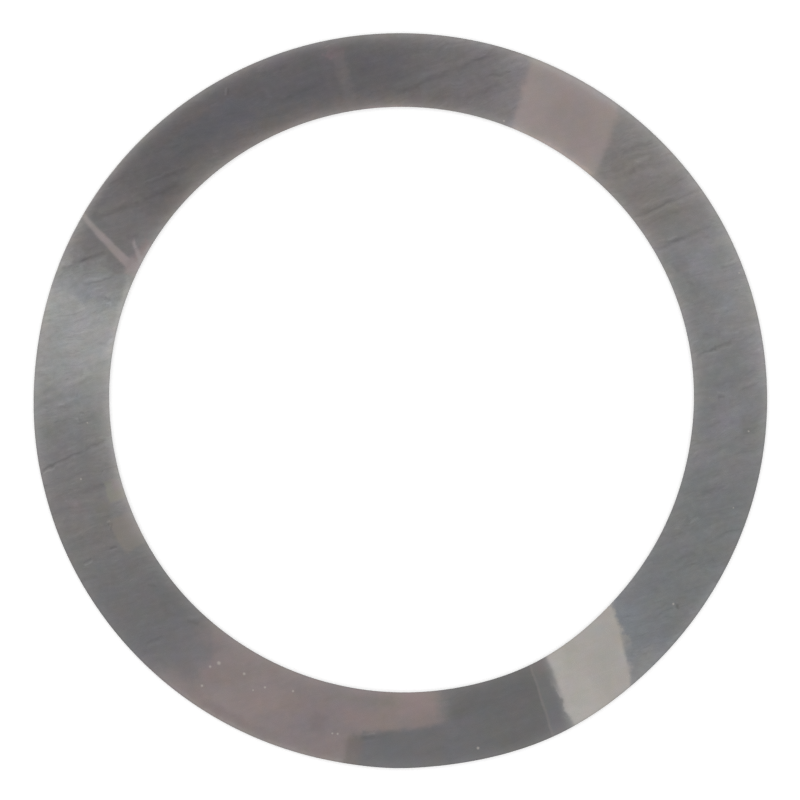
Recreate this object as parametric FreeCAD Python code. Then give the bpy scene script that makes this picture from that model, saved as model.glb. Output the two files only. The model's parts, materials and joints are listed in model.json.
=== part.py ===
"""Shim ring: one flat ring stamped from cold rolled steel strip, which sets the end play of a bearing or gear.

It slides over a shaft and sits inside a housing, so both diameters are the nominal ones with a small play. A
compound die cuts bore and rim in one stroke. That leaves the same four zones on both cut walls: a rolled-over
edge at the upper face, a burnished straight land, a break that tapers back from it, and a foot whose burr has
been tumbled to a small round.

Millimetres. The origin is on the bore's axis at the underside, and +Z is the axis, towards the rolled-over edges.
"""
import FreeCAD
import Part
import os

# What the ring fits: a shaft, the gap from there out to its housing, and the play left at the bore and at the rim
SHAFT_DIAMETER = 50.0
SHAFT_TO_HOUSING = 6.5
BORE_PLAY = 0.10
RIM_PLAY = 0.12

# The strip that it is cut from
STRIP_THICKNESS = 0.50

# The zones of a cut wall, from the upper face down
DIE_ROLL_WIDTH = 0.30
DIE_ROLL_DEPTH = 0.06
LAND_HEIGHT = 0.18
BREAK_SETBACK = 0.025
FOOT_RADIUS = 0.04

HOUSING_DIAMETER = SHAFT_DIAMETER + 2 * SHAFT_TO_HOUSING
BORE_RADIUS = (SHAFT_DIAMETER + BORE_PLAY) / 2
RIM_RADIUS = (HOUSING_DIAMETER - RIM_PLAY) / 2

AXIS_POINT = FreeCAD.Vector(0, 0, 0)
AXIS = FreeCAD.Vector(0, 0, 1)
FULL_TURN = 360.0


def point(radius, height):
    """A point of the section, which lies in the XZ plane."""
    return FreeCAD.Vector(radius, 0, height)


def cut_wall(radius, inwards):
    """The corner points of one cut wall, from the upper face down to the foot.

    inwards is the direction, along the radius, from the wall into the strip's metal.
    """
    roll_bottom = STRIP_THICKNESS - DIE_ROLL_DEPTH
    return {
        "roll_centre": point(radius + inwards * DIE_ROLL_WIDTH, roll_bottom),
        "roll_start": point(radius + inwards * DIE_ROLL_WIDTH, STRIP_THICKNESS),
        "land_top": point(radius, roll_bottom),
        "land_end": point(radius, roll_bottom - LAND_HEIGHT),
        "foot": point(radius + inwards * BREAK_SETBACK, 0),
    }


def die_roll(wall):
    """The rolled-over edge: a quarter ellipse, level where it leaves the face and upright where it meets the land."""
    ellipse = Part.Ellipse(wall["land_top"], wall["roll_start"], wall["roll_centre"])
    ends = sorted([ellipse.parameter(wall["land_top"]), ellipse.parameter(wall["roll_start"])])
    return Part.ArcOfEllipse(ellipse, *ends).toShape()


def section():
    """The ring's cross-section as a face: upper face, both cut walls and the underside."""
    bore = cut_wall(BORE_RADIUS, inwards=+1)
    rim = cut_wall(RIM_RADIUS, inwards=-1)
    edges = [
        Part.LineSegment(bore["roll_start"], rim["roll_start"]).toShape(),
        Part.LineSegment(bore["foot"], rim["foot"]).toShape(),
    ]
    for wall in (bore, rim):
        edges.append(die_roll(wall))
        edges.append(Part.LineSegment(wall["land_top"], wall["land_end"]).toShape())
        edges.append(Part.LineSegment(wall["land_end"], wall["foot"]).toShape())
    return Part.Face(Part.Wire(Part.__sortEdges__(edges)))


def tumbled(ring):
    """The ring with the burr side's two sharp foot edges tumbled to a small round."""
    feet = [edge for edge in ring.Edges if edge.Closed and edge.BoundBox.ZMax < FOOT_RADIUS]
    return ring.makeFillet(FOOT_RADIUS, feet)


def shim_ring():
    """The whole ring, which is one piece of metal."""
    return tumbled(section().revolve(AXIS_POINT, AXIS, FULL_TURN))


os.makedirs("parts", exist_ok=True)
shim_ring().exportStep("parts/shim_ring.step")
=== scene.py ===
"""Shim ring: one flat ring stamped from cold rolled steel strip, on a white table and seen from straight above.

The camera and the studio come first, then the ring: its mesh, the skin of the steel, the two rolled faces and the
cut walls. Lengths are in millimetres, and bearings are in degrees, counter-clockwise from +X.
"""
import json
import math
from dataclasses import dataclass

import bpy
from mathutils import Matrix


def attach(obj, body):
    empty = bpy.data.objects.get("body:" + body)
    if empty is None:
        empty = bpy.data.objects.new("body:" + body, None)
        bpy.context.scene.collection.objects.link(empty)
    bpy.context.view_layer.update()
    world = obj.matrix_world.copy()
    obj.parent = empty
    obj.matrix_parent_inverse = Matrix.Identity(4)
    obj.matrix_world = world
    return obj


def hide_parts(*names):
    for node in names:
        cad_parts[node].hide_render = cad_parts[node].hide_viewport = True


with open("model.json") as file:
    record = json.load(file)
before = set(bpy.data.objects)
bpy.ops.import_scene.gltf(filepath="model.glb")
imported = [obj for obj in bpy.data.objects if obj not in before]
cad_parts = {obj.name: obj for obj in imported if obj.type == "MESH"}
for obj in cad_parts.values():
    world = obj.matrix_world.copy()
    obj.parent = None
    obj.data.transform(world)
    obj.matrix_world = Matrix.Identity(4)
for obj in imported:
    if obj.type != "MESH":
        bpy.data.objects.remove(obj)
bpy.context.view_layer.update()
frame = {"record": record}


# The camera looks straight down from half a metre through a long lens, so no cut wall shows. It stands a hair
# to the left of the ring's axis and above it in the picture, because the ring isn't quite in the picture's middle.
MM = 0.001
CAMERA_HEIGHT = 500.0
CAMERA_ASIDE = (-0.0265, 0.0243)
OUTLINE_HEIGHT = 0.44
PICTURE_WIDTH = 68.458
SENSOR_WIDTH = 36.0
NEAREST_SEEN = 10.0
FARTHEST_SEEN = 20000.0

camera_data = bpy.data.cameras.new("camera")
camera_data.sensor_fit = "HORIZONTAL"
camera_data.sensor_width = SENSOR_WIDTH
camera_data.lens = SENSOR_WIDTH * (CAMERA_HEIGHT - OUTLINE_HEIGHT) / PICTURE_WIDTH
camera_data.clip_start = NEAREST_SEEN * MM
camera_data.clip_end = FARTHEST_SEEN * MM
camera = bpy.data.objects.new("camera", camera_data)
camera.location = (CAMERA_ASIDE[0] * MM, CAMERA_ASIDE[1] * MM, CAMERA_HEIGHT * MM)
bpy.context.collection.objects.link(camera)
bpy.context.scene.camera = camera
bpy.context.scene.view_settings.view_transform = "Standard"


# The room is a pale studio. It is white down by the table and overhead, with a greyer band between them, so that
# bright metal shows a gradient when it is seen from the side.
ROOM_GREYS = ((0.0, 1.0), (0.22, 0.98), (0.48, 0.80), (0.7, 0.72), (0.88, 0.92), (0.97, 1.0))
ROOM_STRENGTH = 1.03


def place(tree, kind, inputs=None, **settings):
    """Adds a node to a tree. inputs maps a socket's name or number to a constant or to the socket that feeds it."""
    node = tree.nodes.new(kind)
    for name, value in settings.items():
        setattr(node, name, value)
    for key, value in (inputs or {}).items():
        socket = node.inputs[key]
        if isinstance(value, bpy.types.NodeSocket):
            tree.links.new(value, socket)
        else:
            socket.default_value = value
    return node


room = bpy.data.worlds.new("room")
room.use_nodes = True
room.node_tree.nodes.clear()
look = place(room.node_tree, "ShaderNodeTexCoord")
height = place(room.node_tree, "ShaderNodeSeparateXYZ", {0: look.outputs["Generated"]})
band = place(room.node_tree, "ShaderNodeValToRGB", {0: height.outputs["Z"]})
band.color_ramp.interpolation = "EASE"
while len(band.color_ramp.elements) < len(ROOM_GREYS):
    band.color_ramp.elements.new(0.5)
for element, (position, grey) in zip(band.color_ramp.elements, ROOM_GREYS, strict=True):
    element.position = position
    element.color = (grey, grey, grey, 1.0)
air = place(room.node_tree, "ShaderNodeBackground", {0: band.outputs["Color"], 1: ROOM_STRENGTH})
place(room.node_tree, "ShaderNodeOutputWorld", {0: air.outputs[0]})
bpy.context.scene.world = room


# One soft box stands behind and to the left, and draws the ring's light side. It is a square of white cloth
# over a lamp, so its shadows are soft.
SOFT_BOX_PLACE = (-620.0, 420.0, 560.0)
SOFT_BOX_SIDE = 300.0
SOFT_BOX_RADIANCE = 1.2

soft_box = bpy.data.lights.new("side_soft_box", "AREA")
soft_box.shape = "SQUARE"
soft_box.size = SOFT_BOX_SIDE * MM
soft_box.energy = SOFT_BOX_RADIANCE * math.pi * soft_box.size**2
stand = bpy.data.objects.new("side_soft_box", soft_box)
stand.location = [where * MM for where in SOFT_BOX_PLACE]
stand.rotation_euler = stand.location.to_track_quat("Z", "Y").to_euler()
bpy.context.collection.objects.link(stand)


# The table is white paper, just under the ring. What the camera and bright metal see of it is lifted to pure
# white, and it keeps the thin shadow along the ring's edge.
TABLE_REACH = 3000.0
TABLE_DROP = 0.002
PAPER_WHITE = 0.8
PAPER_LIFT = 0.42


def add_node_material(name):
    """A new material with an empty node tree."""
    material = bpy.data.materials.new(name)
    material.use_nodes = True
    material.node_tree.nodes.clear()
    return material


def math_of(tree, operation, *values, clamp=False):
    """The result socket of one maths node."""
    node = place(tree, "ShaderNodeMath", dict(enumerate(values)), operation=operation, use_clamp=clamp)
    return node.outputs[0]


paper = add_node_material("white_paper")
tree = paper.node_tree
rays = place(tree, "ShaderNodeLightPath")
seen = math_of(tree, "ADD", rays.outputs["Is Camera Ray"], rays.outputs["Is Glossy Ray"], clamp=True)
seen = math_of(tree, "ADD", seen, rays.outputs["Is Transmission Ray"], clamp=True)
sheet = place(tree, "ShaderNodeBsdfDiffuse", {"Color": (PAPER_WHITE, PAPER_WHITE, PAPER_WHITE, 1.0)})
lift = place(tree, "ShaderNodeEmission", {"Strength": math_of(tree, "MULTIPLY", seen, PAPER_LIFT)})
both = place(tree, "ShaderNodeAddShader", {0: sheet.outputs[0], 1: lift.outputs[0]})
place(tree, "ShaderNodeOutputMaterial", {0: both.outputs[0]})

reach = TABLE_REACH * MM
table_mesh = bpy.data.meshes.new("table")
table_mesh.from_pydata(
    [(x * reach, y * reach, -TABLE_DROP * MM) for x, y in ((-1, -1), (1, -1), (1, 1), (-1, 1))], [], [(0, 1, 2, 3)]
)
table_mesh.materials.append(paper)
table = bpy.data.objects.new("table", table_mesh)
bpy.context.collection.objects.link(table)


# The ring's body. A compound die has stamped it: the upper face rolls over into both cut walls, each wall has a
# straight burnished land and a tapered break below it, and the burr at the foot is tumbled to a small round.
mounts = {mount["name"]: mount for mount in frame["record"]["mounts"]}
BORE_RADIUS = mounts["shaft_bore"]["dims"]["r_mm"]
RIM_RADIUS = mounts["outer_rim"]["dims"]["r_mm"]
THICKNESS = mounts["upper_face"]["pos_m"][2] / MM
DIE_ROLL_WIDTH = 0.30
DIE_ROLL_DEPTH = 0.06
LAND_HEIGHT = 0.18
BREAK_SETBACK = 0.025
FOOT_RADIUS = 0.04
DIE_ROLL_STEPS = 8
FOOT_STEPS = 4
FACE_STEPS = 12
UNDERSIDE_STEPS = 4
SEGMENTS = 1080
SHARP_EDGE = 5.0

# How far the ring has sprung out of round: bearing, reach to either side and amount, at the bore and at the rim.
# The bore was also cut a little off the rim's axis.
BORE_SHIFT = (0.059, 0.120)
BORE_SPRINGS = (
    (297, 15, 0.248),
    (274, 14, 0.062),
    (141, 10, 0.023),
    (192, 22, -0.104),
    (349, 12, -0.038),
    (94, 19, -0.065),
    (233, 10, -0.014),
    (18, 30, 0.048),
)
RIM_SPRINGS = (
    (295, 12, 0.192),
    (326, 24, -0.105),
    (174, 14, -0.072),
    (28, 20, 0.078),
    (14, 29, -0.056),
    (269, 5, 0.054),
    (255, 14, -0.028),
    (89, 13, -0.022),
    (145, 21, 0.031),
    (195, 5, -0.023),
)


def springs_at(springs, bearing):
    """How far an edge stands out at a bearing."""
    total = 0.0
    for centre, spread, amount in springs:
        off = (bearing - centre + 180) % 360 - 180
        total += amount * math.exp(-((off / spread) ** 2))
    return total


def arc(centre, across, up, start, end, steps):
    """Points of a quarter ellipse about centre, from one angle to another, without the first point."""
    angles = [start + (end - start) * (i + 1) / steps for i in range(steps)]
    return [(centre[0] + across * math.cos(a), centre[1] + up * math.sin(a)) for a in angles]


def cut_wall(radius, inwards):
    """One cut wall from its foot up to the face, as (radius, height, zone of the strip to the next point)."""
    foot_x = radius + inwards * (BREAK_SETBACK + FOOT_RADIUS)
    break_top = THICKNESS - DIE_ROLL_DEPTH - LAND_HEIGHT
    quarter = math.pi / 2
    points = [(foot_x, 0.0)]
    points += arc((foot_x, FOOT_RADIUS), -inwards * FOOT_RADIUS, FOOT_RADIUS, -quarter, 0.0, FOOT_STEPS)
    points += [(radius, break_top)]
    roll = (radius + inwards * DIE_ROLL_WIDTH, THICKNESS - DIE_ROLL_DEPTH)
    wall = [(*p, "cut") for p in points] + [(radius, roll[1], "upper")]
    rolled = arc(roll, -inwards * DIE_ROLL_WIDTH, DIE_ROLL_DEPTH, 0.0, quarter, DIE_ROLL_STEPS)
    return wall + [(*p, "upper") for p in rolled]


def between(first, last, steps, zone):
    """Evenly spaced points between two points, without either."""
    return [
        (first[0] + (last[0] - first[0]) * i / steps, first[1] + (last[1] - first[1]) * i / steps, zone)
        for i in range(1, steps)
    ]


def stamped_section():
    """The closed section, from the underside at the bore, up the bore wall, over the face and back underneath."""
    bore = cut_wall(BORE_RADIUS, +1)
    rim = cut_wall(RIM_RADIUS, -1)
    rim_down = [(*rim[i][:2], rim[i - 1][2] if i else "under") for i in range(len(rim) - 1, -1, -1)]
    section = bore + between(bore[-1], rim[-1], FACE_STEPS, "upper") + rim_down
    return section + between(rim[0], bore[0], UNDERSIDE_STEPS, "under")


def ring_mesh(section, materials):
    """The section carried round the axis, with each edge sprung as the real one is."""
    rows = len(section)
    vertices = []
    for i in range(SEGMENTS):
        bearing = 360 * i / SEGMENTS
        cosine, sine = math.cos(math.radians(bearing)), math.sin(math.radians(bearing))
        shift = BORE_SHIFT[0] * cosine + BORE_SHIFT[1] * sine
        at_bore = shift + springs_at(BORE_SPRINGS, bearing)
        at_rim = springs_at(RIM_SPRINGS, bearing)
        for radius, height_up, _ in section:
            across = (radius - BORE_RADIUS) / (RIM_RADIUS - BORE_RADIUS)
            sprung = radius + at_bore + (at_rim - at_bore) * across
            vertices.append((sprung * cosine * MM, sprung * sine * MM, height_up * MM))
    faces = []
    zones = []
    for i in range(SEGMENTS):
        here, there = i * rows, (i + 1) % SEGMENTS * rows
        for j in range(rows):
            k = (j + 1) % rows
            faces.append((here + j, here + k, there + k, there + j))
            zones.append(section[j][2])
    mesh = bpy.data.meshes.new("ring")
    mesh.from_pydata(vertices, [], faces)
    order = list(materials)
    for material in materials.values():
        mesh.materials.append(material)
    mesh.polygons.foreach_set("material_index", [order.index(zone) for zone in zones])
    mesh.shade_smooth()
    mesh.set_sharp_from_angle(angle=math.radians(SHARP_EDGE))
    mesh.validate()
    return mesh


# The steel's skin, on both rolled faces. The strip came off the rolls at a slant to the picture, so fine lines run
# through the whole ring in one direction. What a stain or a painted reflection covers is found by bearing round the
# ring, which starts over at the seam, and by the part of its width, from 0 at the bore to 1 at the rim.
ROLLING_DIRECTION = 18.0
SEAM_BEARING = 330.0
# How close the rolls' marks lie, per mm along the rolling direction and across it
FINE_LINES = (0.5, 3.6, 1.0)
BROAD_LINES = (0.14, 1.1, 1.0)
ROLL_SCORES = (0.25, 2.6, 1.0)
ROLL_RELIEF = (1.1, 2.5, 1.0)
# The lines sway by this much, in mm, and this often in each mm
SWAY = 0.35
SWAY_SCALE = 0.35
# Where a noise starts, so that no two have the same pattern
TINT_START = (5.0, 71.0, 0.0)
CLOUDS_START = (57.0, 13.0, 0.0)
WANDER_START = (31.0, 7.0, 0.0)
# Flecks of painted light and shade lie on the relief's slopes, which are taken over this step, and only where the
# clouds are this high
SLOPE_STEP = (0.0, -0.28, 0.0)
RELIEF_SHADE_CLOUDS = (-0.35, 0.5)
# The dips of the scores' noise that count as none and as a whole score
SCORE_DIPS = (-0.55, -0.95)
# How steep the edge of a stain or painted reflection is, and how far Wander takes it across the width
STAIN_AND_REFLECTION_EDGE = 1.5
WANDER_ACROSS = 0.06
# How a score's ends fade, and the ridge beside its groove: how many half widths off, and its share of the depth
END_FADE = 3.0
RIDGE_OFF = 1.8
RIDGE = 0.6


def linear(red, green, blue):
    """A colour as a picture's 0 to 255 values give it, made linear for a shader."""
    channels = [c / 255 for c in (red, green, blue)]
    return (*[c / 12.92 if c <= 0.04045 else ((c + 0.055) / 1.055) ** 2.4 for c in channels], 1.0)


def new_group(name, inputs, outputs):
    """An empty node group. inputs and outputs map each socket's name to its type."""
    group = bpy.data.node_groups.new(name, "ShaderNodeTree")
    for direction, sockets in (("INPUT", inputs), ("OUTPUT", outputs)):
        for label, kind in sockets.items():
            group.interface.new_socket(label, in_out=direction, socket_type="NodeSocket" + kind)
    return group, group.nodes.new("NodeGroupInput").outputs, group.nodes.new("NodeGroupOutput")


def finish_group(group, end, results):
    """Wires the results to the group's outputs."""
    for label, socket in results.items():
        group.links.new(socket, end.inputs[label])


def use_group(tree, group, inputs=None):
    """Places a group in a tree with its inputs set, and gives its outputs."""
    return place(tree, "ShaderNodeGroup", inputs, node_tree=group).outputs


def vector_of(tree, operation, first, second=None, third=None, scale=None):
    """The result socket of one vector maths node."""
    inputs = {0: first}
    if second is not None:
        inputs[1] = second
    if third is not None:
        inputs[2] = third
    if scale is not None:
        inputs["Scale"] = scale
    node = place(tree, "ShaderNodeVectorMath", inputs, operation=operation)
    return node.outputs["Value" if operation in ("LENGTH", "DOT_PRODUCT", "DISTANCE") else "Vector"]


def turned(tree, vector, degrees):
    """A vector turned about the ring's axis, counter-clockwise from above."""
    inputs = {"Vector": vector, "Angle": math.radians(degrees)}
    return place(tree, "ShaderNodeVectorRotate", inputs, rotation_type="Z_AXIS").outputs[0]


def ramp(tree, value, low, high):
    """A ramp that is 0 up to low and 1 from high on."""
    rise = math_of(tree, "MULTIPLY_ADD", value, 1 / (high - low), -low / (high - low))
    return math_of(tree, "MINIMUM", math_of(tree, "MAXIMUM", rise, 0.0), 1.0)


def noise(tree, where, scale, detail=2.0, roughness=0.5):
    """Noise about 0, mostly between -1 and 1."""
    inputs = {"Vector": where, "Scale": scale, "Detail": detail, "Roughness": roughness}
    value = place(tree, "ShaderNodeTexNoise", inputs).outputs["Fac"]
    return math_of(tree, "MULTIPLY_ADD", value, 4.0, -2.0)


def mixed(tree, factor, first, second, blend="MIX"):
    """One colour over another. A mix node takes its two colours at inputs 6 and 7, and gives one at output 2."""
    inputs = {0: factor, 6: first, 7: second}
    return place(tree, "ShaderNodeMix", inputs, data_type="RGBA", blend_type=blend).outputs[2]


def make_ring_position():
    """A group that gives a point's place in mm, its bearing, its part of the width and its distance to an edge."""
    outputs = {"Place": "Vector", "Bearing": "Float", "Across": "Float", "From Edge": "Float", "Height": "Float"}
    group, _, end = new_group("ring position", {}, outputs)
    point = vector_of(group, "SCALE", place(group, "ShaderNodeTexCoord").outputs["Object"], scale=1 / MM)
    apart = place(group, "ShaderNodeSeparateXYZ", {0: point}).outputs
    flat = place(group, "ShaderNodeCombineXYZ", {0: apart[0], 1: apart[1]}).outputs[0]
    radius = vector_of(group, "LENGTH", flat)
    from_bore = math_of(group, "SUBTRACT", radius, BORE_RADIUS)
    from_rim = math_of(group, "SUBTRACT", RIM_RADIUS, radius)
    facing = place(group, "ShaderNodeSeparateXYZ", {0: turned(group, flat, 180 - SEAM_BEARING)}).outputs
    angle = math_of(group, "ARCTAN2", facing[1], facing[0])
    results = {
        "Place": point,
        "Bearing": math_of(group, "MULTIPLY_ADD", angle, 180 / math.pi, SEAM_BEARING - 180),
        "Across": math_of(group, "DIVIDE", from_bore, RIM_RADIUS - BORE_RADIUS),
        "From Edge": math_of(group, "MINIMUM", from_bore, from_rim),
        "Height": apart[2],
    }
    finish_group(group, end, results)
    return group


def make_stain_and_reflection():
    """A group for one stain or painted reflection: how much of it lies on a point.

    It lies between two lines across the ring, each given by its bearing at the bore and at the rim, and between
    two parts of the width, which Tilt lowers with each degree. Wander is a noise that makes its edges ragged.
    """
    numbers = ("Bearing", "Across", "Wander", "First at Bore", "First at Rim", "Last at Bore", "Last at Rim")
    numbers += ("First Blur", "Last Blur", "Low", "High", "Blur Across", "Tilt", "Ragged")
    group, given, end = new_group("stain_and_reflection", {label: "Float" for label in numbers}, {"Cover": "Float"})
    wander = math_of(group, "MULTIPLY", given["Wander"], given["Ragged"])
    bearing = math_of(group, "ADD", given["Bearing"], wander)
    across = math_of(group, "MULTIPLY_ADD", wander, -WANDER_ACROSS, given["Across"])
    onward = math_of(group, "SUBTRACT", bearing, given["First at Bore"])
    across = math_of(group, "MULTIPLY_ADD", onward, given["Tilt"], across)
    depths = []
    for which in ("First", "Last"):
        lean = math_of(group, "SUBTRACT", given[f"{which} at Rim"], given[f"{which} at Bore"])
        line = math_of(group, "MULTIPLY_ADD", lean, given["Across"], given[f"{which} at Bore"])
        ends = (bearing, line) if which == "First" else (line, bearing)
        depths.append(math_of(group, "DIVIDE", math_of(group, "SUBTRACT", *ends), given[f"{which} Blur"]))
    for ends in ((across, given["Low"]), (given["High"], across)):
        depths.append(math_of(group, "DIVIDE", math_of(group, "SUBTRACT", *ends), given["Blur Across"]))
    depth = depths[0]
    for other in depths[1:]:
        depth = math_of(group, "MINIMUM", depth, other)
    soft = math_of(group, "TANH", math_of(group, "MULTIPLY", depth, STAIN_AND_REFLECTION_EDGE))
    finish_group(group, end, {"Cover": math_of(group, "MULTIPLY_ADD", soft, 0.5, 0.5)})
    return group


def make_score():
    """A group for one scratch or roll score: the depth of its groove, less the ridge on the right of its way.

    Along and Aside take a place to parts of the score's half length and half width.
    """
    inputs = {"Place": "Vector", "Along": "Vector", "Aside": "Vector"}
    inputs |= {"Middle Along": "Float", "Middle Aside": "Float"}
    group, given, end = new_group("score", inputs, {"Depth": "Float"})
    offs = []
    for way in ("Along", "Aside"):
        reached = vector_of(group, "DOT_PRODUCT", given["Place"], given[way])
        offs.append(math_of(group, "SUBTRACT", reached, given[f"Middle {way}"]))
    along, aside = offs
    fade = math_of(group, "MULTIPLY_ADD", math_of(group, "ABSOLUTE", along), -END_FADE, END_FADE)
    shapes = []
    for off in (aside, math_of(group, "ADD", aside, RIDGE_OFF)):
        shape = math_of(group, "SUBTRACT", 1.0, math_of(group, "ABSOLUTE", off))
        shapes.append(math_of(group, "MAXIMUM", math_of(group, "MINIMUM", shape, fade), 0.0))
    finish_group(group, end, {"Depth": math_of(group, "MULTIPLY_ADD", shapes[1], -RIDGE, shapes[0])})
    return group


def make_rolling_lines():
    """A group for the skin that the rolls left: lines, scores, relief, flecks of painted light and shade on the
    relief's slopes, mottle, clouds and a drift of tint.

    Wander is the noise by which stains, painted reflections and scores stray.
    """
    outputs = {label: "Float" for label in ("Lines", "Scores", "Relief", "ReliefShade", "Mottle", "Clouds", "Wander")}
    group, given, end = new_group("rolling lines", {"Place": "Vector"}, {**outputs, "Tint": "Color"})
    spot = given["Place"]
    along = turned(group, spot, -ROLLING_DIRECTION)
    wave = math_of(group, "MULTIPLY", noise(group, along, SWAY_SCALE), SWAY)
    sway = place(group, "ShaderNodeCombineXYZ", {1: wave}).outputs[0]
    along = vector_of(group, "ADD", along, sway)
    fine = noise(group, vector_of(group, "MULTIPLY", along, FINE_LINES), 1.0, detail=3.0, roughness=0.6)
    broad = noise(group, vector_of(group, "MULTIPLY", along, BROAD_LINES), 1.0)
    score = noise(group, vector_of(group, "MULTIPLY", along, ROLL_SCORES), 1.0, detail=3.0, roughness=0.55)
    blotch = {"Vector": vector_of(group, "ADD", spot, TINT_START), "Scale": 0.55, "Detail": 4.0, "Roughness": 0.65}
    clouds = noise(group, vector_of(group, "ADD", spot, CLOUDS_START), 0.5, detail=3.0, roughness=0.55)
    relief = noise(group, vector_of(group, "MULTIPLY", along, ROLL_RELIEF), 1.0, roughness=0.6)
    lower = vector_of(group, "MULTIPLY_ADD", along, ROLL_RELIEF, third=SLOPE_STEP)
    slope = math_of(group, "SUBTRACT", relief, noise(group, lower, 1.0, roughness=0.6))
    steep = math_of(group, "MULTIPLY", slope, math_of(group, "ABSOLUTE", slope))
    results = {
        "Lines": math_of(group, "ADD", broad, fine),
        "Scores": ramp(group, score, *SCORE_DIPS),
        "Relief": relief,
        "ReliefShade": math_of(group, "MULTIPLY", steep, ramp(group, clouds, *RELIEF_SHADE_CLOUDS)),
        "Mottle": noise(group, spot, 1.7, detail=3.0, roughness=0.6),
        "Clouds": clouds,
        "Wander": noise(group, vector_of(group, "ADD", spot, WANDER_START), 0.9, detail=4.0, roughness=0.6),
        "Tint": place(group, "ShaderNodeTexNoise", blotch).outputs["Color"],
    }
    finish_group(group, end, results)
    return group


ring_position = make_ring_position()
stain_and_reflection_cover = make_stain_and_reflection()
score_line = make_score()
rolling_lines = make_rolling_lines()


# The upper face: bright rolled steel that has been oiled, stacked and handled. Its patches of colour, most of them
# reflections of the studio painted into the colour and some of them stains, lie in this order, each over the ones
# before it.
@dataclass
class StainAndReflection:
    """One stain, or one reflection painted into the colour: its border lines, each by its bearing at the bore and
    at the rim, and what it looks like.
    """

    name: str
    first: tuple
    last: tuple
    colour: tuple
    # How soft the first and the last line are, in degrees
    blur: tuple = (1, 1)
    # The part of the ring's width that it takes, and how soft it is there
    width: tuple = (-1, 2, 0.1)
    # How far that part sinks with each degree
    tilt: float = 0.0
    ragged: float = 0.5
    cover: float = 1.0
    # How much of the rolling lines it hides. Below 0 they show more strongly than in the bare metal.
    hides: float = 0.0


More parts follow.
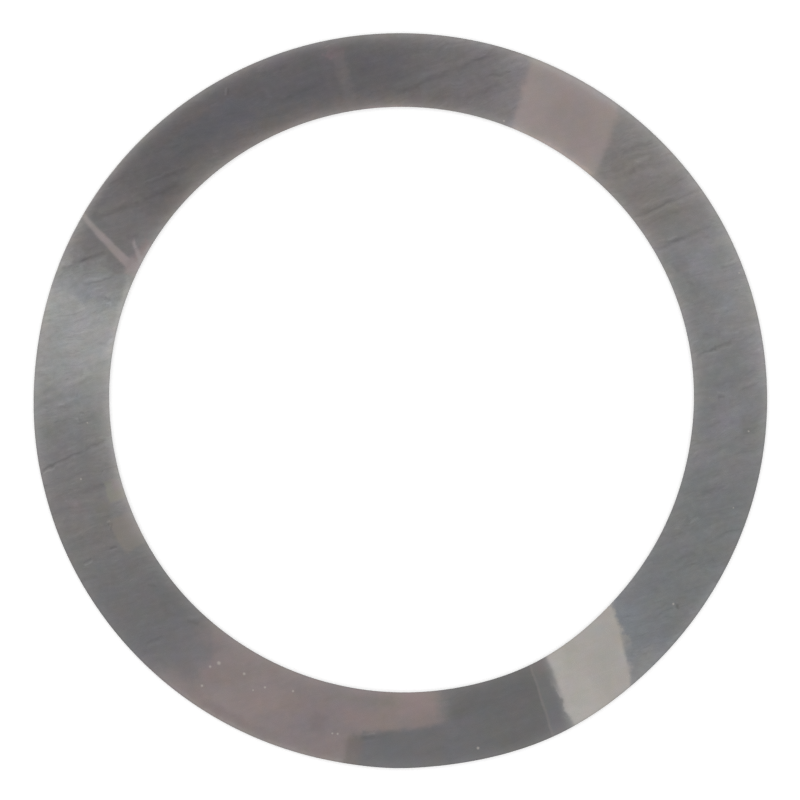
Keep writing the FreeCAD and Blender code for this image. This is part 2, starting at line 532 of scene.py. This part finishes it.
UPPER_STEEL = (116, 117, 118)
# Along the edges on one side of the ring this lightening is a painted highlight, where the rolled edges catch the
# light; all round it is wear.
EDGE_WEAR_AND_HIGHLIGHT = StainAndReflection("worn edges", (-4, -4), (206, 190), (170, 167, 165), blur=(10, 10))
# Painted reflections of the studio, as lighter, darker and tinted patches, with some stains among them.
UPPER_STAINS_AND_REFLECTIONS = (
    StainAndReflection("right grey", (-15, -13), (49.6, 54), (121, 121, 122), blur=(2.5, 1), ragged=1),
    StainAndReflection("right light", (14, 10), (28, 26), (132, 132, 133), blur=(5, 4), width=(0.45, 0.95, 0.3), ragged=2),
    StainAndReflection("right rim", (3, 3), (46, 50), (136, 135, 136), blur=(4, 3), width=(0.85, 2, 0.25), ragged=1, cover=0.8),
    StainAndReflection("right warm", (31, 34), (49.6, 54), (122, 118, 116), blur=(4, 1), width=(-1, 0.7, 0.25), ragged=1),
    StainAndReflection("right lilac", (-5, -5), (0, 0), (126, 125, 129), width=(0.35, 0.68, 0.1), ragged=1),
    StainAndReflection("lilac above it", (22.3, 22.3), (26.2, 26.2), (131, 130, 133), width=(0.38, 0.66, 0.1), ragged=1),
    StainAndReflection("right shade", (17, 17), (27.5, 27.5), (121, 120, 121), width=(0.2, 0.34, 0.05), ragged=1, cover=0.8),
    StainAndReflection("warm by the rim", (30, 30), (49.6, 54), (129, 124, 122),
          blur=(3, 1), width=(0.6, 0.95, 0.15), ragged=1, cover=0.6),
    StainAndReflection("right olive", (-6, -6), (-3.2, -3.2), (116, 116, 115), blur=(1, 1), width=(0.68, 0.88, 0.05), cover=0.8),
    StainAndReflection("top grey", (67, 69), (88, 88), (114, 110, 112), blur=(1, 14)),
    StainAndReflection("beside the rose patch", (67, 69), (72, 73), (128, 124, 126), blur=(1, 3), cover=0.8),
    StainAndReflection("top dark", (84, 84), (152, 152), (101, 98, 99), blur=(11, 3), ragged=1, hides=0.2),
    StainAndReflection("top core", (90, 94), (136, 136), (96, 94, 97),
          blur=(6, 9), width=(0.25, 0.9, 0.25), ragged=3, hides=0.1),
    StainAndReflection("top blue", (116, 116), (132, 132), (93, 93, 98),
          blur=(4, 4), width=(0.4, 0.72, 0.1), ragged=2, cover=0.5),
    StainAndReflection("top red", (116, 116), (136, 136), (97, 92, 92),
          blur=(3, 3), width=(0.76, 0.93, 0.06), ragged=2, cover=0.5),
    StainAndReflection("top olive", (80, 92), (148, 126), (102, 94, 92), blur=(8, 10), width=(-1, 0.16, 0.16), ragged=2),
    StainAndReflection("light in it", (126, 126), (134.5, 134), (104, 101, 100),
          blur=(2, 2), width=(0.06, 0.28, 0.12), ragged=1),
    StainAndReflection("top pale line", (98.2, 99.6), (99.6, 102.2), (107, 103, 104), width=(0.2, 2, 0.3), ragged=1),
    StainAndReflection("top rose mark", (99.6, 99.6), (102.6, 102.6), (113, 102, 106),
          blur=(0.8, 0.8), width=(0.76, 0.95, 0.08), ragged=2),
    StainAndReflection("top brown", (142, 144.5), (159, 158), (113, 110, 110), blur=(4, 2.5), ragged=2),
    StainAndReflection("top rim", (100, 100), (149, 149), (90, 87, 90), blur=(6, 2), width=(0.85, 2, 0.08), cover=0.8),
    StainAndReflection("left grey", (155.5, 156), (200, 200), (127, 127, 126), blur=(2.5, 3), ragged=2, hides=-0.1),
    StainAndReflection("left silver", (163, 161), (178.5, 174), (155, 155, 155), blur=(5, 11), ragged=2, hides=-0.15),
    StainAndReflection("silver blue", (157.5, 157.5), (162, 162), (133, 134, 138),
          blur=(1.5, 1), width=(0.2, 0.62, 0.12), ragged=2, cover=0.8),
    StainAndReflection("silver at the bore", (157, 157), (171, 171), (170, 168, 166),
          blur=(2, 3), width=(-1, 0.05, 0.05), cover=0.7),
    StainAndReflection("lower left grey", (185, 184), (214, 214), (117, 115, 115), blur=(8, 8), ragged=2),
    StainAndReflection("tan streak", (153.0, 149.35), (154.9, 150.1), (144, 135, 134),
          blur=(0.3, 0.35), width=(0.12, 2, 0.1), ragged=0.15, hides=0.9),
    StainAndReflection("rose at the bore", (147.5, 147.5), (154.5, 154.5), (127, 112, 111),
          blur=(1, 0.5), width=(-1, 0.12, 0.06), ragged=1, hides=0.8),
    StainAndReflection("tan spike", (151.3, 141.4), (152.75, 139.4), (145, 137, 136),
          blur=(0.4, 0.4), width=(-1, 0.24, 0.03), ragged=0.15, cover=0.8),
    StainAndReflection("tan at the bore", (148.6, 148.6), (155, 155), (148, 140, 139),
          blur=(1, 0.5), width=(-1, 0.03, 0.04), hides=0.9),
    StainAndReflection("foot of the streak", (152.3, 152.3), (155.3, 155.3), (137, 128, 126),
          blur=(0.8, 0.6), width=(-1, 0.14, 0.05)),
    StainAndReflection("olive spot", (195.3, 195.3), (199.5, 199.5), (127, 126, 119),
          blur=(0.4, 0.4), width=(-1, 0.21, 0.02), hides=0.9),
    StainAndReflection("rose in it", (195.3, 195.3), (197.6, 197.6), (132, 123, 122), blur=(0.5, 0.5), width=(-1, 0.1, 0.04)),
    StainAndReflection("olive shade", (199.2, 199.2), (202.4, 202.4), (116, 113, 110),
          blur=(0.6, 0.8), width=(0.24, 0.42, 0.05), cover=0.7),
    StainAndReflection("left rose spot", (197.4, 197.4), (199.2, 199.2), (123, 117, 118),
          blur=(0.6, 0.6), width=(0.56, 0.72, 0.05), ragged=1, cover=0.7),
    StainAndReflection("low olive spot", (202.4, 202.4), (209.2, 209.2), (126, 121, 118),
          blur=(0.4, 0.3), width=(-1, 0.3, 0.02), hides=0.9),
    StainAndReflection("lower left blue", (211, 211), (231, 231), (109, 108, 109), blur=(6, 3), ragged=1, hides=0.4),
    StainAndReflection("bottom rose", (229.5, 228), (278, 277), (132, 122, 121), blur=(3, 2.5), ragged=1, hides=0.8),
    StainAndReflection("blue bulge", (224, 224), (233.3, 233.3), (111, 110, 113),
          blur=(3, 2), width=(0.22, 0.78, 0.15), ragged=1, cover=0.85),
    StainAndReflection("bottom rose light", (239, 236), (250, 249), (137, 126, 125),
          blur=(3, 3), width=(0.3, 1.0, 0.3), ragged=2),
    StainAndReflection("bottom rose shade", (254, 250), (263, 257), (129, 120, 121),
          blur=(4, 4), width=(-0.3, 0.9, 0.3), ragged=3),
    StainAndReflection("bottom rim shade", (237, 237), (249, 249), (130, 119, 119),
          blur=(2, 1.5), width=(0.84, 0.96, 0.04), ragged=1),
    StainAndReflection("bottom rim light", (232, 232), (262, 262), (152, 145, 143),
          blur=(4, 1), width=(0.96, 2, 0.03), cover=0.4),
    StainAndReflection("bottom spot", (254.5, 254.5), (257.3, 257.3), (123, 115, 116),
          blur=(0.8, 0.8), width=(0.42, 0.66, 0.06)),
    StainAndReflection("warm streak", (260, 260), (268, 268), (135, 122, 119),
          blur=(1.5, 1.5), width=(0.28, 0.46, 0.06), ragged=1, cover=0.7),
    StainAndReflection("rose by the bore", (266, 266), (277, 277), (138, 125, 123),
          blur=(3, 2), width=(-1, 0.3, 0.12), ragged=1, hides=0.5),
    StainAndReflection("shade by the bore", (258, 258), (269, 269), (125, 118, 114),
          blur=(2, 2), width=(0.05, 0.17, 0.06), ragged=1, cover=0.8),
    StainAndReflection("bottom dark", (278.6, 278.3), (300, 298.05), (103, 102, 102), blur=(2.2, 0.4), hides=0.7),
    StainAndReflection("bottom dark low", (263.8, 262.9), (285, 285), (107, 106, 108),
          blur=(0.5, 4), width=(0.55, 2, 0.05), tilt=0.0078),
    StainAndReflection("brown beside it", (262.6, 260.9), (264.8, 263.4), (111, 106, 104),
          blur=(0.8, 0.6), width=(0.6, 2, 0.06), cover=0.9),
    StainAndReflection("beside the pale patch", (296.2, 294.5), (300, 298.05), (109, 109, 109),
          blur=(0.2, 0.4), ragged=0.15, hides=0.8),
    StainAndReflection("brown beside the patch", (296.4, 296.4), (299.5, 299.5), (115, 109, 108),
          width=(-1, 0.26, 0.1), cover=0.8),
    StainAndReflection("lilac beside the patch", (294.8, 294.8), (298, 298), (110, 107, 111), width=(0.68, 2, 0.1), cover=0.8),
    StainAndReflection("up to the patch", (299, 297.2), (300, 298.05), (125, 124, 123), blur=(1, 0.4), ragged=0.15),
    StainAndReflection("line beside it", (295.95, 294.25), (296.35, 294.65), (119, 115, 115),
          blur=(0.12, 0.12), ragged=0.15, cover=0.8),
    StainAndReflection("cool lower right", (314, 308), (321, 317), (121, 123, 127), blur=(1, 5), hides=0.2),
    StainAndReflection("light at its rim", (309, 309), (318, 315), (137, 138, 138),
          blur=(1, 3), width=(0.8, 2, 0.12), cover=0.7),
    StainAndReflection("lower right rim", (314, 314), (352, 352), (133, 134, 135),
          blur=(3, 5), width=(0.92, 2, 0.06), cover=0.6),
    StainAndReflection("pale patch", (299.75, 298.05), (315.75, 308.85), (169, 165, 160),
          blur=(0.45, 0.45), ragged=0.15, hides=0.95),
    StainAndReflection("pale patch by the bore", (303, 303), (315.5, 312), (163, 158, 151),
          blur=(3, 1), width=(-1, 0.45, 0.25), ragged=2, cover=0.8),
    StainAndReflection("pale patch shade", (306, 303.5), (315.5, 308.8), (161, 157, 153),
          blur=(2.5, 0.8), width=(-1, 2, 0.3), ragged=1, cover=0.8),
    StainAndReflection("pale patch by the rim", (298.5, 298.2), (304, 303), (168, 165, 161),
          blur=(0.5, 3), width=(0.5, 2, 0.25), ragged=1, cover=0.8),
    StainAndReflection("rose patch", (48.8, 53.3), (67.8, 69.1), (146, 136, 134),
          blur=(0.9, 0.7), width=(-1, 2, 0.06), hides=0.9),
    StainAndReflection("rose patch rim", (53, 53), (69, 69), (162, 157, 157), blur=(1, 0.7), width=(0.94, 2, 0.05), cover=0.6),
    StainAndReflection("rose patch middle", (53, 58), (61, 63), (140, 130, 128),
          blur=(4, 4), width=(0.2, 0.75, 0.25), hides=0.9),
    StainAndReflection("rose patch edge", (50, 50), (67, 67), (170, 154, 148), width=(-1, 0.05, 0.04)),
    StainAndReflection("top rose edge", (86, 86), (97, 97), (138, 114, 114), blur=(2, 2), width=(-1, 0.02, 0.02), cover=0.7),
)
# Roll scores and scratches: where each starts and ends, in mm, half its width, and its strength, which is below 0
# where it is lighter than the metal. The ridge that it pushed up stands on the right of its way. Each is painted
# into the colour as shade in its groove and a highlight on its ridge, the other way round where its strength is
# below 0.
UPPER_SCORES = (
    # Beside the tan streak
    ((-22.10, 16.96), (-26.49, 15.42), 0.35, 0.63),
    ((-18.72, 18.54), (-22.79, 16.68), 0.27, 0.49),
    ((-26.72, 12.19), (-29.06, 11.04), 0.28, 0.96),
    ((-27.57, 11.77), (-25.14, 12.79), 0.23, 0.92),
    ((-24.44, 10.72), (-27.11, 9.77), 0.18, 1.02),
    ((-23.50, 13.90), (-22.30, 14.10), 0.30, 0.43),
    ((-24.81, 8.78), (-25.30, 8.85), 0.20, 0.81),
    ((-24.66, 8.36), (-25.22, 8.21), 0.18, -1.1),
    ((-22.14, 18.59), (-18.16, 20.18), 0.15, -0.66),
    # Left
    ((-26.12, 2.05), (-28.95, 0.83), 0.23, 0.4),
    ((-27.97, 1.78), (-26.56, 2.58), 0.30, -0.24),
    ((-26.34, 2.00), (-27.70, 1.52), 0.24, 0.27),
    ((-27.50, 0.99), (-27.69, 0.24), 0.13, 0.4),
    ((-29.72, -0.58), (-27.69, 0.31), 0.27, -0.52),
    ((-29.28, -0.51), (-28.69, -0.30), 0.12, -0.96),
    ((-27.46, -1.10), (-27.05, -1.05), 0.14, 0.76),
    ((-27.57, -1.47), (-27.35, -1.76), 0.12, 0.45),
    ((-27.73, -2.01), (-26.34, -1.64), 0.13, 0.4),
    ((-30.99, -1.01), (-29.77, -0.57), 0.29, -0.3),
    ((-26.13, 4.84), (-25.02, 4.84), 0.20, 0.36),
    ((-29.29, 5.99), (-30.15, 5.22), 0.20, 0.39),
    ((-30.76, -5.90), (-27.11, -4.35), 0.15, 0.94),
    ((-26.95, -4.18), (-25.11, -3.43), 0.20, 0.87),
    ((-27.07, -3.60), (-26.04, -3.34), 0.20, -0.49),
    ((-29.49, -5.83), (-30.65, -6.16), 0.15, -1.27),
    ((-27.58, -8.17), (-24.47, -6.79), 0.32, 0.37),
    ((-25.14, -10.40), (-24.83, -10.26), 0.13, -1.21),
    ((-24.64, -10.40), (-24.78, -11.10), 0.10, 0.8),
    ((-26.27, -13.75), (-27.12, -14.09), 0.14, -1.16),
    ((-24.92, -12.63), (-24.20, -12.49), 0.15, 0.78),
    # Lower left and bottom
    ((-20.85, -15.98), (-21.66, -15.80), 0.20, 0.5),
    ((-17.14, -19.13), (-18.32, -18.99), 0.25, 0.59),
    ((-21.82, -20.77), (-20.22, -20.04), 0.19, 0.48),
    ((-2.10, -28.68), (-3.35, -28.95), 0.22, 0.54),
    ((-2.10, -28.42), (-3.25, -28.70), 0.10, -0.7),
    ((-22.50, -13.00), (-24.60, -13.00), 0.10, 0.3),
    # Lower right
    ((27.86, -7.30), (25.59, -7.96), 0.35, 0.53),
    ((24.42, -10.48), (24.65, -9.91), 0.24, 0.42),
    ((25.55, -10.03), (24.71, -10.62), 0.13, -0.81),
    ((25.39, -13.01), (23.43, -13.83), 0.29, 0.46),
    ((23.60, -17.35), (23.80, -17.95), 0.17, 0.9),
    # Right
    ((21.70, 12.89), (24.51, 14.04), 0.20, 0.58),
    ((23.24, 13.45), (26.69, 15.05), 0.26, 0.29),
    ((22.82, 13.80), (23.76, 14.01), 0.13, -0.99),
    ((23.23, 11.85), (23.76, 11.02), 0.20, 0.26),
    ((25.24, 9.86), (24.43, 10.15), 0.20, 0.41),
    ((24.21, 8.74), (25.39, 8.09), 0.20, 0.3),
    ((28.83, 11.67), (27.35, 11.19), 0.14, 0.66),
    ((29.02, 5.71), (27.75, 5.87), 0.20, -0.48),
    ((25.73, 5.44), (27.50, 5.81), 0.35, 0.64),
    ((25.26, 3.70), (27.10, 4.58), 0.16, 0.67),
    ((26.33, 4.27), (28.45, 5.03), 0.18, 0.75),
    ((30.49, 1.50), (29.03, 0.79), 0.21, 0.48),
    ((27.80, 0.28), (27.15, 0.18), 0.21, 0.88),
    ((28.14, -3.28), (30.77, -2.45), 0.35, 0.3),
    ((27.96, -4.30), (26.00, -5.30), 0.34, -0.47),
    # Above right
    ((21.67, 22.22), (18.87, 21.15), 0.27, 0.55),
    ((20.00, 20.38), (21.51, 21.06), 0.23, -0.5),
    ((22.91, 20.44), (19.84, 19.70), 0.35, 0.32),
    ((20.14, 19.83), (19.54, 19.34), 0.27, 0.56),
    ((20.31, 16.39), (23.58, 17.59), 0.17, -0.43),
    ((19.85, 15.66), (23.59, 17.12), 0.19, 0.76),
    ((23.20, 16.93), (25.80, 18.17), 0.16, 0.5),
    # Top
    ((4.17, 28.10), (-0.40, 26.20), 0.32, 0.77),
    ((8.36, 29.89), (3.48, 27.76), 0.36, 0.57),
    ((2.76, 29.59), (0.86, 29.28), 0.30, -0.4),
    ((8.62, 27.28), (5.29, 25.52), 0.35, 0.63),
    ((-9.01, 26.04), (-10.30, 25.63), 0.20, 0.38),
    ((-14.98, 26.05), (-14.92, 26.75), 0.13, -1.21),
    ((-11.60, 26.75), (-11.10, 25.85), 0.32, -0.4),
    ((-9.44, 28.76), (-12.15, 27.70), 0.35, 0.35),
)
# Bright specks: where each is, and its radius
UPPER_SPECKS = (
    ((-16.27, -22.79), 0.14),
    ((-15.52, -22.48), 0.21),
    ((-16.97, -24.42), 0.15),
    ((-13.36, -23.40), 0.16),
    ((-12.60, -24.80), 0.10),
    ((-11.58, -24.56), 0.13),
    ((-9.18, -24.88), 0.13),
    ((-5.82, -28.50), 0.11),
    ((-5.36, -28.54), 0.12),
    ((6.65, -29.76), 0.16),
    ((23.36, -17.42), 0.12),
    ((29.80, -2.65), 0.11),
    ((29.00, 10.90), 0.10),
    ((28.50, -9.20), 0.08),
    ((8.87, 23.90), 0.12),
    ((-27.33, -6.74), 0.11),
    ((-26.77, -1.92), 0.09),
)


def cover_of(tree, where, wander, stain_and_reflection):
    """How much one stain or painted reflection covers."""
    numbers = {
        "Bearing": where["Bearing"],
        "Across": where["Across"],
        "Wander": wander,
        "First at Bore": stain_and_reflection.first[0],
        "First at Rim": stain_and_reflection.first[1],
        "Last at Bore": stain_and_reflection.last[0],
        "Last at Rim": stain_and_reflection.last[1],
        "First Blur": stain_and_reflection.blur[0],
        "Last Blur": stain_and_reflection.blur[1],
        "Low": stain_and_reflection.width[0],
        "High": stain_and_reflection.width[1],
        "Blur Across": stain_and_reflection.width[2],
        "Tilt": stain_and_reflection.tilt,
        "Ragged": stain_and_reflection.ragged,
    }
    cover = use_group(tree, stain_and_reflection_cover, numbers)["Cover"]
    return cover if stain_and_reflection.cover == 1.0 else math_of(tree, "MULTIPLY", cover, stain_and_reflection.cover)


def score_frame(start, end, half_width):
    """What turns a place into parts of a score's half length and half width."""
    half_length = math.dist(start, end) / 2
    heading = [(b - a) / (2 * half_length) for a, b in zip(start, end, strict=True)]
    middle = [(a + b) / 2 for a, b in zip(start, end, strict=True)]
    frame_of = {}
    for label, (x, y), half in (("Along", heading, half_length), ("Aside", (-heading[1], heading[0]), half_width)):
        frame_of[label] = (x / half, y / half, 0.0)
        frame_of[f"Middle {label}"] = (x * middle[0] + y * middle[1]) / half
    return frame_of


# The lightening along both edges: how fast it fades with each mm, the painted highlight that it adds on the side
# where the rolled edges catch the light, and the wear's strength all round
WEAR_AND_HIGHLIGHT_FADE = 2.0
WEAR_AND_HIGHLIGHT = (0.38, 0.15)
# How strongly the skin's own scores show, and how far a listed one strays from its straight line, in mm
ROLL_SCORE_DEPTH = 0.5
STRAY = 0.2
# How sharp a speck's edge is
SPECK_EDGE = 1.5
SPECK_COVER = 0.6
SPECK_COLOUR = (176, 170, 164)
# How much the skin lightens and darkens the metal. The first of a pair is lost where a stain or a painted
# reflection hides the lines.
LINES_TONE = (0.043, 0.015)
MOTTLE_TONE = (0.043, 0.022)
CLOUDS_TONE = 0.038
# The flecks are painted light and shade on the relief's slopes.
RELIEF_SHADE_TONE = 0.18
GROOVE_SHADE = 0.17
# How far red, green and blue drift from place to place
TINT_SPREAD = (0.21, 0.05, 0.24)
STEEL_ROUGHNESS = 0.26
MOTTLE_ROUGHNESS = 0.03
GROOVE_ROUGHNESS = 0.1
# How high the lines stand, in mm, and the relief's share of that
LINE_HEIGHT = 0.0006
RELIEF_SHARE = 0.6


def with_stains_and_reflections(tree, where, wander, bare, stains_and_reflections):
    """The bare metal's colour under its stains and painted reflections, and how much of the rolling lines they
    leave to be seen.
    """
    colour = linear(*bare)
    shown = 1.0
    for stain_and_reflection in stains_and_reflections:
        cover = cover_of(tree, where, wander, stain_and_reflection)
        colour = mixed(tree, cover, colour, linear(*stain_and_reflection.colour))
        if stain_and_reflection.hides:
            shown = math_of(tree, "MULTIPLY", shown, math_of(tree, "MULTIPLY_ADD", cover, -stain_and_reflection.hides, 1.0))
    return colour, shown


def worn_and_highlit(tree, where, wander, colour):
    """The colour made lighter along the edges, by wear all round and by a painted highlight on the side where the
    rolled edges catch the light.
    """
    near = math_of(tree, "EXPONENT", math_of(tree, "MULTIPLY", where["From Edge"], -WEAR_AND_HIGHLIGHT_FADE))
    wear_and_highlight = math_of(tree, "MULTIPLY_ADD", cover_of(tree, where, wander, EDGE_WEAR_AND_HIGHLIGHT), *WEAR_AND_HIGHLIGHT)
    return mixed(tree, math_of(tree, "MULTIPLY", near, wear_and_highlight), colour, linear(*EDGE_WEAR_AND_HIGHLIGHT.colour))


def grooved(tree, spot, skin, shown, scores):
    """How deep the roll scores and scratches are."""
    grooves = math_of(tree, "MULTIPLY", skin["Scores"], math_of(tree, "MULTIPLY", shown, ROLL_SCORE_DEPTH))
    jagged = place(tree, "ShaderNodeCombineXYZ", {1: math_of(tree, "MULTIPLY", skin["Wander"], STRAY)}).outputs[0]
    jagged = vector_of(tree, "ADD", spot, jagged)
    for *ends, half_width, strength in scores:
        line = use_group(tree, score_line, {"Place": jagged, **score_frame(*ends, half_width)})
        grooves = math_of(tree, "MULTIPLY_ADD", line["Depth"], strength, grooves)
    return grooves


def specked(tree, spot, specks):
    """How much of a point is a bright speck."""
    bright = 0.0
    flat = vector_of(tree, "MULTIPLY", spot, (1.0, 1.0, 0.0))
    for centre, radius in specks:
        off = vector_of(tree, "DISTANCE", flat, (*centre, 0.0))
        speck = math_of(tree, "MULTIPLY_ADD", off, -SPECK_EDGE / radius, SPECK_EDGE)
        bright = math_of(tree, "MAXIMUM", bright, speck)
    return math_of(tree, "MINIMUM", bright, 1.0)


def in_tone(tree, tone, colour):
    """A colour made lighter or darker by tone, which leaves it as it is at 1."""
    grey = place(tree, "ShaderNodeCombineColor", {0: tone, 1: tone, 2: tone}).outputs[0]
    return mixed(tree, 1.0, colour, grey, "MULTIPLY")


def toned(tree, skin, shown, grooves, colour):
    """The colour with the skin's lines, mottle, painted flecks of light and shade and drift in it, and with its
    grooves shaded.
    """
    tone = math_of(tree, "MULTIPLY", skin["Lines"], math_of(tree, "MULTIPLY_ADD", shown, *LINES_TONE))
    mottle = math_of(tree, "MULTIPLY_ADD", shown, *MOTTLE_TONE)
    tone = math_of(tree, "MULTIPLY_ADD", skin["Mottle"], mottle, tone)
    tone = math_of(tree, "MULTIPLY_ADD", skin["Clouds"], CLOUDS_TONE, tone)
    tone = math_of(tree, "MULTIPLY_ADD", skin["ReliefShade"], math_of(tree, "MULTIPLY", shown, RELIEF_SHADE_TONE), tone)
    tone = math_of(tree, "MULTIPLY_ADD", grooves, -GROOVE_SHADE, tone)
    least = [1 - spread / 2 for spread in TINT_SPREAD]
    tint = vector_of(tree, "MULTIPLY_ADD", skin["Tint"], TINT_SPREAD, third=least)
    colour = mixed(tree, 1.0, colour, tint, "MULTIPLY")
    return in_tone(tree, math_of(tree, "ADD", tone, 1.0), colour)


def make_steel(tree, colour, rough, **more):
    """Wires the shader of a bare metal to the tree's output."""
    facts = {"Base Color": colour, "Metallic": 1.0, "Roughness": rough, **more}
    steel = place(tree, "ShaderNodeBsdfPrincipled", facts)
    place(tree, "ShaderNodeOutputMaterial", {0: steel.outputs[0]})


def rolled_face(name, bare, stains_and_reflections, scores, specks):
    """A rolled face: bare metal under its stains and painted reflections, with the rolling lines showing where none
    of them hides them.
    """
    material = add_node_material(name)
    tree = material.node_tree
    where = use_group(tree, ring_position)
    skin = use_group(tree, rolling_lines, {"Place": where["Place"]})
    colour, shown = with_stains_and_reflections(tree, where, skin["Wander"], bare, stains_and_reflections)
    colour = worn_and_highlit(tree, where, skin["Wander"], colour)
    grooves = grooved(tree, where["Place"], skin, shown, scores)
    bright = specked(tree, where["Place"], specks)
    colour = toned(tree, skin, shown, grooves, colour)
    colour = mixed(tree, math_of(tree, "MULTIPLY", bright, SPECK_COVER), colour, linear(*SPECK_COLOUR))
    rough = math_of(tree, "MULTIPLY_ADD", skin["Mottle"], MOTTLE_ROUGHNESS, STEEL_ROUGHNESS)
    rough = math_of(tree, "MULTIPLY_ADD", grooves, GROOVE_ROUGHNESS, rough)
    raised = math_of(tree, "MULTIPLY_ADD", skin["Relief"], RELIEF_SHARE, skin["Lines"])
    raised = math_of(tree, "MULTIPLY", raised, LINE_HEIGHT * MM)
    bump = place(tree, "ShaderNodeBump", {"Height": raised, "Distance": 1.0, "Strength": 1.0})
    make_steel(tree, colour, rough, Normal=bump.outputs[0])
    return material


upper_face = rolled_face("rolled_upper_face", UPPER_STEEL, UPPER_STAINS_AND_REFLECTIONS, UPPER_SCORES, UPPER_SPECKS)


# The underside is the strip's other rolled face. It has lain on other rings in the stack, and has its own few
# marks: oil films, a drip and scores.
UNDER_STEEL = (121, 120, 120)
UNDER_STAINS = (
    StainAndReflection("oil along the bore", (20, 20), (95, 95), (108, 106, 107),
          blur=(14, 12), width=(-1, 0.35, 0.3), ragged=3),
    StainAndReflection("bright handled part", (118, 121), (168, 164), (140, 140, 141), blur=(8, 9), ragged=3, hides=-0.1),
    StainAndReflection("straw film", (176, 180), (203, 199), (137, 130, 124), blur=(1.2, 4), ragged=1, hides=0.6),
    StainAndReflection("dark film", (222, 219), (262, 268), (107, 105, 107), blur=(5, 3), ragged=2, hides=0.4),
    StainAndReflection("rose film in it", (236, 236), (251, 251), (127, 118, 117),
          blur=(3, 3), width=(0.25, 0.8, 0.15), ragged=2),
    StainAndReflection("light at the rim", (-20, -20), (60, 60), (138, 138, 138),
          blur=(10, 10), width=(0.86, 2, 0.1), cover=0.7),
    StainAndReflection("drip", (284.2, 283.1), (285.6, 284.0), (142, 136, 131), blur=(0.3, 0.3), width=(0.1, 2, 0.1), hides=0.8),
)
UNDER_SCORES = (
    ((-28.90, 3.40), (-24.60, 5.10), 0.26, 0.9),
    ((-27.20, -9.80), (-24.80, -9.10), 0.22, 0.8),
    ((-12.40, 25.60), (-9.20, 26.90), 0.30, 0.7),
    ((6.30, 27.10), (10.90, 28.60), 0.24, 0.9),
    ((21.90, 14.80), (26.30, 16.10), 0.28, 0.8),
    ((26.10, -3.90), (29.40, -2.70), 0.22, -0.8),
    ((17.60, -21.90), (20.30, -21.20), 0.26, 0.7),
    ((-4.80, -27.90), (-0.90, -26.60), 0.24, 0.6),
)
UNDER_SPECKS = (((-18.30, 21.10), 0.13), ((27.90, 6.80), 0.12), ((4.20, -29.10), 0.14))

underside = rolled_face("rolled_underside", UNDER_STEEL, UNDER_STAINS, UNDER_SCORES, UNDER_SPECKS)


# The cut walls of bore and rim, bare steel from the die: a burnished land that it has scored upright, and a duller
# torn break below it. The break gives way to the land between two heights.
LAND_EDGE = (0.24, 0.28)
LAND_COLOUR = (146, 145, 144)
BREAK_COLOUR = (104, 103, 102)
LAND_ROUGHNESS = 0.28
BREAK_ROUGHNESS = 0.48
# How close the die's scores and the torn grain lie, per mm, and how much they lighten and darken the steel
DIE_SCORES = (9.0, 9.0, 0.6)
DIE_SCORES_TONE = 0.08
TORN_GRAIN = 14.0
TORN_GRAIN_TONE = 0.05


def cut_wall_steel():
    """The material of the cut walls."""
    material = add_node_material("cut_wall")
    tree = material.node_tree
    where = use_group(tree, ring_position)
    scored = noise(tree, vector_of(tree, "MULTIPLY", where["Place"], DIE_SCORES), 1.0, detail=3.0)
    torn = noise(tree, where["Place"], TORN_GRAIN, detail=3.0, roughness=0.6)
    land = ramp(tree, where["Height"], *LAND_EDGE)
    colour = mixed(tree, land, linear(*BREAK_COLOUR), linear(*LAND_COLOUR))
    tone = math_of(tree, "MULTIPLY_ADD", torn, TORN_GRAIN_TONE, 1.0)
    tone = math_of(tree, "MULTIPLY_ADD", scored, DIE_SCORES_TONE, tone)
    colour = in_tone(tree, tone, colour)
    rough = math_of(tree, "MULTIPLY_ADD", land, LAND_ROUGHNESS - BREAK_ROUGHNESS, BREAK_ROUGHNESS)
    make_steel(tree, colour, rough)
    return material


# The whole ring: one flat piece of cold rolled spring steel, stamped from strip in one stroke and left bare. The
# part has no other piece.
steels = {"upper": upper_face, "under": underside, "cut": cut_wall_steel()}
ring = bpy.data.objects.new("ring", ring_mesh(stamped_section(), steels))
bpy.context.collection.objects.link(ring)
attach(ring, "root")
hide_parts("shim_ring")
